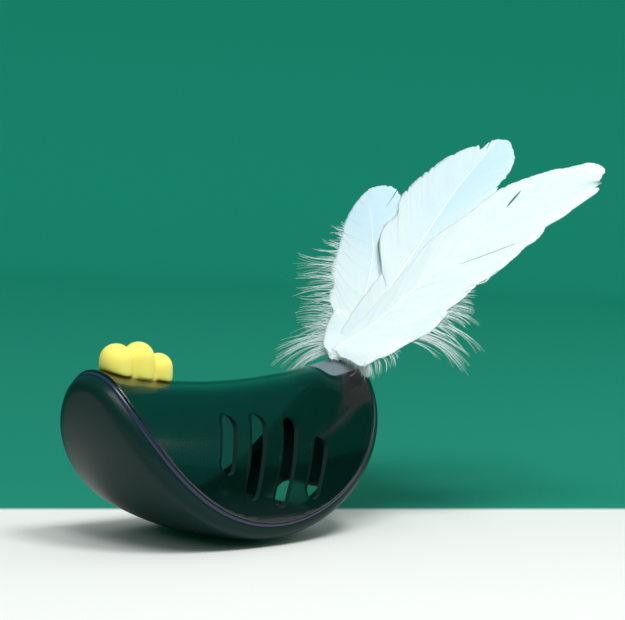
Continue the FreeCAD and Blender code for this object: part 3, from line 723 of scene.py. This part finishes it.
LONG = Feather(
    "long", turn=-32.8, layer=1.7, lead=33.0,
    shaft=((0, 0), (0.9, 19.5), (3.9, 39.5), (7, 58), (9.4, 67.1), (10.9, 78.1), (10.4, 91.2), (8.8, 97.7),
           (5.6, 109.4), (-1.1, 118), (-5.5, 123.3)),
    left=((3, 2), (7.3, 11.7), (10.9, 21.5), (14.4, 29.1), (20.9, 42.5), (26.7, 53.7), (27.7, 60.8),
          (27.3, 73.5), (28.6, 87.6), (25.6, 97.3), (19.8, 107.3), (16, 112.9), (12.4, 116.3), (8.6, 121),
          (7.4, 123), (0.4, 125.7), (-4.4, 125.4), (-5.5, 123.3)),
    right=((-7.5, -0.5), (-10.2, 1.3), (-14.1, 2.7), (-17.9, 3.6), (-20.6, 5.4), (-22, 9.4), (-23.2, 13.5),
           (-23.6, 18.1), (-23, 22.5), (-23.6, 28.3), (-24.7, 34), (-21.3, 42.4), (-19.5, 48.7),
           (-17, 58.5), (-17.4, 66.9), (-16.1, 76.1), (-14.5, 82.6), (-14.7, 86.8), (-13.3, 91),
           (-11.3, 94.1), (-12.3, 101.5), (-11.6, 106.2), (-11.4, 112.7), (-11, 117.6), (-8.4, 120),
           (-6.6, 122.8), (-5.5, 123.3)),
    splits=((1, 0.655, 0.22, 0.66, 1.3), (-1, 0.375, 0.3, 0.8, 0.12), (-1, 0.82, 0.7, 1.01, 0.2)),
    painted_shades=(0.0, 0.05), lift=1.8)
MIDDLE = Feather(
    "middle", turn=-1.7, layer=0.0, lead=38.0,
    shaft=((0, 0), (-1.8, 18.9), (-0.6, 34.9), (0.1, 46.8), (1, 60.7), (2.4, 76.5), (3.4, 92.7), (2.4, 105.9),
           (0.7, 122.3)),
    left=((2, 2), (6.7, 7.6), (9.2, 18.9), (10.2, 33.9), (10.1, 46.8), (17.8, 52.5), (23.4, 57.9),
          (27.7, 62.2), (27.5, 64.9), (29.5, 70.2), (27.1, 75.9), (27.6, 78.4), (32.5, 85.8), (32.5, 90.4),
          (31.6, 95.2), (27.6, 104.4), (22.9, 111.4), (16.7, 116.3), (11.1, 118.9), (7.4, 116.5),
          (5.7, 121), (1.8, 122.5), (0.7, 122.3)),
    right=((-3, 2), (-10.8, 18.9), (-14.8, 38.9), (-16.8, 58.9), (-17.8, 78.9), (-16.9, 92.6), (-15.8, 99.3),
           (-16.9, 102.5), (-14.5, 111.1), (-11.1, 116), (-4.4, 122.1), (0.7, 122.3)),
    splits=((1, 0.9, 0.55, 1.01, 0.4),), painted_shades=(0.45, 0.95))
SHORT = Feather(
    "short", turn=25.0, layer=-1.7, lead=36.0,
    shaft=((0, 0), (-3.2, 23.8), (-3.2, 43.8), (-1.7, 61.4), (0.1, 68.6), (2.9, 80.8), (7.6, 96.8),
           (8.3, 106.8)),
    left=((3, 0.5), (6, 3.8), (11.2, 11.2), (12, 17.8), (11.4, 24.4), (11.3, 31.7), (14.9, 39.1),
          (15.4, 44.2), (14.7, 49.5), (18.7, 58.9), (18.3, 64.5), (17.9, 77.6), (18.1, 89),
          (16.4, 96.7), (13.3, 103.2), (10.2, 106.6), (8.3, 107.2)),
    right=((-4, 1), (-10.2, 18.8), (-12.2, 33.8), (-11.2, 48.8), (-9.2, 60.8), (-8.2, 73.8), (-8.2, 88.8),
           (-7.1, 97.2), (-1.9, 104.3), (3.7, 107.2), (8.3, 107.2)),
    splits=((-1, 0.74, 0.6, 1.01, 0.5),), painted_shades=(0.8, 0.9))
FOOT = Feather(
    "foot", turn=22.0, layer=-0.6, lead=48.0,
    shaft=((-1.2, -4.8), (3.3, 7.8), (6.3, 18.1), (9.2, 28.7)),
    left=((0.7, -5.3), (4.3, 0), (8.2, 5.8), (11, 14.5), (11.2, 22.2), (9.2, 28.7)),
    right=((-3.9, -6), (-4.9, -0.8), (-3.9, 7.4), (-1.3, 16), (3.6, 23.7), (9.2, 28.7)),
    splits=(), painted_shades=(0.0, 0.0), lift=3.4, rows=60, columns=14)
LOOSE_BARB = Line(((-17.2, 70.0), (-17.8, 66.8), (-20.1, 62.7), (-19.1, 59.9), (-17.4, 57.5), (-16.2, 54.2)))


def shaft_line(feather):
    """The centre line of a feather's shaft from the socket's mouth, with the radius at each point."""
    line = [(fan_point(0.0, 0.5, feather.layer), 0.0007)]
    steps = 48
    for step in range(steps + 1):
        share = 0.985 * step / steps
        spot = feather.shaft.at(share)
        line.append((feather.place(spot.x, spot.y), (0.7 - 0.54 * share ** 0.8) * MM))
    return line


class TOY_OT_feathers(bpy.types.Operator):
    """The three long feathers, each a vane of barbs on a tapered shaft, and the small vane at their foot"""
    bl_idname = "toy.feathers"
    bl_label = "Feathers"

    def execute(self, context):
        settings = context.scene.toy_feathers
        white = vane_keratin()
        shaft = surface("feather_shaft", settings.shaft, 0.4)
        for count, feather in enumerate((LONG, MIDDLE, SHORT, FOOT)):
            mesh = vane_mesh(feather, settings.camber, 11 + count)
            thicken(mesh, settings.vane_depth)
            nodes = () if feather is FOOT else ("feather_" + feather.name,)
            finish_piece("vane_" + feather.name, mesh, white, "feathers", nodes)
            if feather is not FOOT:
                tubes("shaft_" + feather.name, [shaft_line(feather)], shaft, "feathers", sides=2)
        strand = []
        steps = 30
        for step in range(steps + 1):
            spot = LOOSE_BARB.at(step / steps)
            strand.append((LONG.place(spot.x, spot.y, -0.3), 0.00024))
        tubes("loose_barb", [strand], shaft, "feathers", sides=1)
        return {"FINISHED"}


# Down

def wisps(roots, tips, layer, clumps, strands, radius, seed, arch=0.12, swing=0.1, reach=(0.55, 1.0)):
    """Clumps of soft barbs from a line of roots out towards a line of tips, in the fan's plane.

    The arch and its swing from clump to clump are shares of a barb's length, and reach is how much of
    the way to the tips a clump goes.
    """
    draw = random.Random(seed)
    roots, tips = Line(roots), Line(tips)
    lines = []
    for clump in range(clumps):
        share = (clump + draw.random()) / clumps
        root = roots.at(share)
        tip = root.lerp(tips.at(share), draw.uniform(*reach))
        span = (tip - root).length
        height = layer + draw.gauss(0.0, 0.8)
        sweep = arch + draw.gauss(0.0, swing)
        lean = draw.gauss(0.0, 0.08) * span
        for _ in range(strands):
            start = roots.at(share + draw.gauss(0.0, 0.02))
            end = tip + Vector((draw.gauss(0.0, 0.035), draw.gauss(0.0, 0.035))) * span
            lift = draw.gauss(0.0, 0.03) * span
            side = Vector((end.y - start.y, start.x - end.x)) * math.copysign(1.0, start.x - end.x)
            line = []
            for step in range(9):
                t = step / 8
                spot = start.lerp(end, t) + side * sweep * t * (1.0 - t) * 2.0
                depth = fan_depth(layer, spot.y) + (height - layer + lift) * t + lean * t * t
                line.append((fan_point(spot.x, spot.y, depth), radius * (1.0 - 0.8 * t)))
            lines.append(line)
    return lines


def fluff(centre, size, count, length, radius, seed):
    """A small ball of curled barbs in the fan's own axes."""
    draw = random.Random(seed)
    lines = []
    for _ in range(count):
        start = Vector([middle + draw.gauss(0.0, 0.3) * half for middle, half in zip(centre, size)])
        away = Vector([draw.gauss(0.0, 1.0) * half for half in size]).normalized() * length
        curl = Vector([draw.gauss(0.0, 1.0) for _ in range(3)]) * length * 0.5
        line = []
        for step in range(7):
            t = step / 6
            spot = start + away * t + curl * t * (1.0 - t)
            line.append((fan_point(*spot), radius * (1.0 - 0.7 * t)))
        lines.append(line)
    return lines


# The hanging down's two edges, each point to the left, up the fan and in front of it, in millimetres.
DRAPE_LOW = Line(((-2.2, -3.2, 3.8), (-2.8, -2.4, 2.8), (-3.9, -1.7, 2.1), (-5.4, -1, 1.4), (-7.2, -0.8, 0.9),
                  (-9, -1, 0.6), (-10.6, -1.1, 0), (-12, -1.4, -1), (-13.6, -2, -2.1),
                  (-15, -2.8, -3.5), (-16.5, -3.4, -4.4), (-17.8, -2.4, -4.6)))
DRAPE_HIGH = Line(((4.1, 2, 3.2), (2.7, 3.3, 3.2), (0.9, 3.9, 3.3), (-1, 4.2, 3.2), (-3.4, 3.7, 2.9),
                   (-5.8, 3.3, 2.6), (-8, 2.8, 2.2), (-10.3, 2.4, 1.8), (-12.8, 1.5, 1.4),
                   (-15.4, 0.7, 1), (-17.4, -0.3, 0.6), (-19.7, -1, 0)))


def drape_spot(across, down):
    """A point of the down that hangs over the socket's mouth, with both shares from 0 to 1."""
    spot = DRAPE_HIGH.at(across).lerp(DRAPE_LOW.at(across), down)
    return spot + Vector((0.0, 0.0, 0.7 * math.sin(math.pi * down)))


class TOY_OT_drape(bpy.types.Operator):
    """The close down that hangs over the socket's mouth"""
    bl_idname = "toy.drape"
    bl_label = "Down over the socket"

    def execute(self, context):
        settings = context.scene.toy_feathers
        draw = random.Random(31)
        columns = 60
        mesh = bmesh.new()
        bmesh.ops.create_grid(mesh, x_segments=columns, y_segments=10, size=1.0)
        barbs = mesh.loops.layers.uv.new("barbs")
        for face in mesh.faces:
            for loop in face.loops:
                loop[barbs].uv = ((loop.vert.co.x + 1.0) / 2.0, (loop.vert.co.y + 1.0) / 2.0)
        ends = [draw.uniform(0.94, 1.04) for _ in range(columns + 1)]
        for vert in mesh.verts:
            across, down = (vert.co.x + 1.0) / 2.0, (vert.co.y + 1.0) / 2.0
            vert.co = fan_point(*drape_spot(across, down * ends[int(round(across * columns))]))
        thicken(mesh, settings.vane_depth)
        finish_piece("down_drape", mesh, vane_keratin(), "feathers")
        lines = []
        barb_count = 420
        for _ in range(barb_count):
            across, down = draw.random(), draw.uniform(0.1, 0.85)
            start = drape_spot(across, down)
            fall = (drape_spot(across, 1.0) - drape_spot(across, 0.0)).normalized()
            fall = (fall + Vector([draw.gauss(0.0, 0.3) for _ in range(3)])) * draw.uniform(1.2, 2.6)
            line = []
            for step in range(6):
                t = step / 5
                spot = start + fall * t + Vector((0.0, 0.0, 0.15 + 1.1 * t * (1.0 - t)))
                line.append((fan_point(*spot), settings.hair_radius * (0.75 - 0.5 * t)))
            lines.append(line)
        tubes("down_drape_barbs", lines, surface("drape_barb_painted_green_cast", settings.down, 0.6), "feathers")
        return {"FINISHED"}


class TOY_OT_down(bpy.types.Operator):
    """The loose down at the feathers' foot"""
    bl_idname = "toy.down"
    bl_label = "Down"

    def execute(self, context):
        settings = context.scene.toy_feathers
        hair = surface("down_barb_painted_green_cast", settings.down, 0.6)
        radius = settings.hair_radius
        left = wisps(((8, 21), (12, 14), (11, 8), (7, 3)),
                     ((24, 20), (32, 14.5), (37, 8.5), (36, -1), (32, -7), (25, -11), (16, -6)),
                     -1.0, 30, 4, radius, 3, arch=0.26, swing=0.06)
        tubes("tuft_left", left, hair, "feathers", ("down_left",))
        right = wisps(((-37, 38), (-35, 30), (-32, 21), (-28, 13)),
                      ((-48, 41), (-54, 36), (-56, 30), (-62.5, 23), (-62, 18), (-65, 13), (-71, 4),
                       (-62, 4)),
                      0.6, 34, 4, radius, 5, arch=0.13, swing=0.05, reach=(0.45, 1.0))
        tubes("tuft_right", right, hair, "feathers", ("down_right",))
        front = wisps(((-28, 10), (-22, 4), (-14, 0)), ((-31, 10), (-35, -2), (-34, -11), (-24, -6)),
                      1.7, 14, 3, radius, 7, arch=0.15)
        tubes("tuft_front", front, hair, "feathers", ("down_front",))
        foot = wisps(((-12, 0), (-16, 0), (-18, 1)), ((-10, -3), (-18, -5), (-23, -3)),
                     2.6, 14, 5, radius, 24, arch=0.2, swing=0.1, reach=(0.4, 0.9))
        foot += fluff((-7.0, 4.4, -8.0), (1.6, 1.6, 2.6), 150, 2.6, radius, 25)
        tubes("fluff_foot", foot, hair, "feathers")
        fringe = wisps(((17, 17), (24, 27), (30, 36), (36, 45), (41, 54), (46, 63), (50, 71), (52, 76)),
                       ((33, 16), (41, 20), (46, 25), (58, 32), (58, 38), (61, 47), (65, 54), (63, 62),
                        (60, 68), (61, 75), (56, 79)),
                       -2.2, 54, 3, radius, 9, arch=0.05, swing=0.12, reach=(0.3, 1.0))
        tubes("fringe_short", fringe, hair, "feathers")
        return {"FINISHED"}


class TOY_OT_ferrule(bpy.types.Operator):
    """The ferrule that plugs the bundle into its socket"""
    bl_idname = "toy.ferrule"
    bl_label = "Ferrule"

    def execute(self, context):
        skin_of("feather_ferrule", "bundle_ferrule", seat_plastic(), "feathers")
        return {"FINISHED"}


# Stage

def studio_floor(radius, cove=0.5, wall=0.9):
    """A round floor that curves up into a wall all round."""
    mesh = bmesh.new()
    profile = [mesh.verts.new((0.02, 0.0, 0.0)), mesh.verts.new((radius, 0.0, 0.0))]
    steps = 12
    for step in range(1, steps + 1):
        angle = math.pi / 2 * step / steps
        profile.append(mesh.verts.new((radius + cove * math.sin(angle), 0.0, cove * (1 - math.cos(angle)))))
    profile.append(mesh.verts.new((radius + cove, 0.0, wall)))
    edges = [mesh.edges.new(pair) for pair in zip(profile, profile[1:])]
    bmesh.ops.spin(mesh, geom=profile + edges, cent=(0, 0, 0), axis=(0, 0, 1), angle=2 * math.pi,
                   steps=96, use_merge=True)
    hole = [edge for edge in mesh.edges if edge.is_boundary and edge.verts[0].co.z < 0.01]
    bmesh.ops.holes_fill(mesh, edges=hole, sides=0)
    for face in mesh.faces:
        face.smooth = True
        if face.normal.dot(Vector((0, 0, 0.8)) - face.calc_center_median()) < 0:
            face.normal_flip()
    data = bpy.data.meshes.new("studio_floor")
    mesh.to_mesh(data)
    mesh.free()
    data.materials.append(floor_paint())
    floor = bpy.data.objects.new("studio_floor", data)
    bpy.context.scene.collection.objects.link(floor)


def studio_world(strength, backdrop):
    """Even pale light from all round, seen itself as the backdrop's colour."""
    world = bpy.data.worlds.new("studio_world")
    world.use_nodes = True
    tree = world.node_tree
    sky = tree.nodes["Background"]
    sky.inputs["Color"].default_value = (0.97, 0.95, 0.96, 1.0)
    sky.inputs["Strength"].default_value = strength
    seen = tree.nodes.new("ShaderNodeBackground")
    seen.inputs["Color"].default_value = (*backdrop, 1.0)
    rays = tree.nodes.new("ShaderNodeLightPath").outputs
    sharp = larger(tree, rays["Is Camera Ray"], rays["Is Glossy Ray"])
    choice = tree.nodes.new("ShaderNodeMixShader")
    tree.links.new(larger(tree, sharp, rays["Is Transmission Ray"]), choice.inputs["Fac"])
    tree.links.new(sky.outputs["Background"], choice.inputs[1])
    tree.links.new(seen.outputs["Background"], choice.inputs[2])
    tree.links.new(choice.outputs["Shader"], tree.nodes["World Output"].inputs["Surface"])
    bpy.context.scene.world = world


def lamp(name, place, target, width, height, power):
    """A rectangular lamp that faces a target."""
    data = bpy.data.lights.new(name, "AREA")
    data.shape = "RECTANGLE"
    data.size = width
    data.size_y = height
    data.energy = power
    holder = bpy.data.objects.new(name, data)
    holder.location = place
    holder.rotation_euler = (Vector(target) - Vector(place)).to_track_quat("-Z", "Y").to_euler()
    bpy.context.scene.collection.objects.link(holder)


def photo_camera(lens):
    """The camera at the photograph's place and angle."""
    data = bpy.data.cameras.new("photo_camera")
    data.lens = lens
    data.sensor_width = 36.0
    data.clip_start = 0.01
    camera = bpy.data.objects.new("photo_camera", data)
    back = -CAMERA_AIM
    right = (CAMERA_RIGHT - back * CAMERA_RIGHT.dot(back)).normalized()
    turn = Matrix((right, back.cross(right), back)).transposed()
    camera.matrix_world = Matrix.Translation(CAMERA_PLACE) @ turn.to_4x4()
    bpy.context.scene.collection.objects.link(camera)
    bpy.context.scene.camera = camera


class TOY_OT_stage(bpy.types.Operator):
    """The pale floor, the soft studio lamps and the camera"""
    bl_idname = "toy.stage"
    bl_label = "Stage"

    def execute(self, context):
        settings = context.scene.toy_stage
        studio_floor(settings.bowl_radius)
        studio_world(settings.sky, settings.backdrop)
        lamp("key_lamp", (-0.05, -0.62, 1.15), (0, 0, 0.06), 0.35, 0.35, 8.2)
        lamp("side_lamp", (-0.5, -0.5, 1.15), (0, 0, 0.06), 0.4, 0.4, 6.4)
        lamp("edge_lamp", (1.1, -0.5, 0.35), (0.03, 0, 0.05), 0.25, 0.8, 1.2)
        photo_camera(settings.lens)
        context.scene.view_settings.view_transform = "Standard"
        return {"FINISHED"}


OPERATORS = (TOY_OT_base, TOY_OT_cover, TOY_OT_seat, TOY_OT_inside, TOY_OT_crest, TOY_OT_ferrule,
             TOY_OT_feathers, TOY_OT_drape, TOY_OT_down, TOY_OT_stage)


class TOY_PT_panel(bpy.types.Panel):
    """Lists the toy's settings and pieces"""
    bl_idname = "TOY_PT_panel"
    bl_label = "Rocking treat toy"
    bl_space_type = "VIEW_3D"
    bl_region_type = "UI"
    bl_category = "Treat toy"

    def draw(self, context):
        scene = context.scene
        for group in (scene.toy_body, scene.toy_crest, scene.toy_feathers, scene.toy_stage):
            for key in group.__annotations__:
                self.layout.prop(group, key)
        for operator in OPERATORS:
            self.layout.operator(operator.bl_idname)


CLASSES = (BodySettings, CrestSettings, FeatherSettings, StageSettings) + OPERATORS + (TOY_PT_panel,)


def register():
    for cls in CLASSES:
        bpy.utils.register_class(cls)
    bpy.types.Scene.toy_body = bpy.props.PointerProperty(type=BodySettings)
    bpy.types.Scene.toy_crest = bpy.props.PointerProperty(type=CrestSettings)
    bpy.types.Scene.toy_feathers = bpy.props.PointerProperty(type=FeatherSettings)
    bpy.types.Scene.toy_stage = bpy.props.PointerProperty(type=StageSettings)


def unregister():
    del bpy.types.Scene.toy_stage
    del bpy.types.Scene.toy_feathers
    del bpy.types.Scene.toy_crest
    del bpy.types.Scene.toy_body
    for cls in reversed(CLASSES):
        bpy.utils.unregister_class(cls)


def main():
    register()
    for operator in OPERATORS:
        group, name = operator.bl_idname.split(".")
        getattr(getattr(bpy.ops, group), name)()


if __name__ == "__main__":
    main()
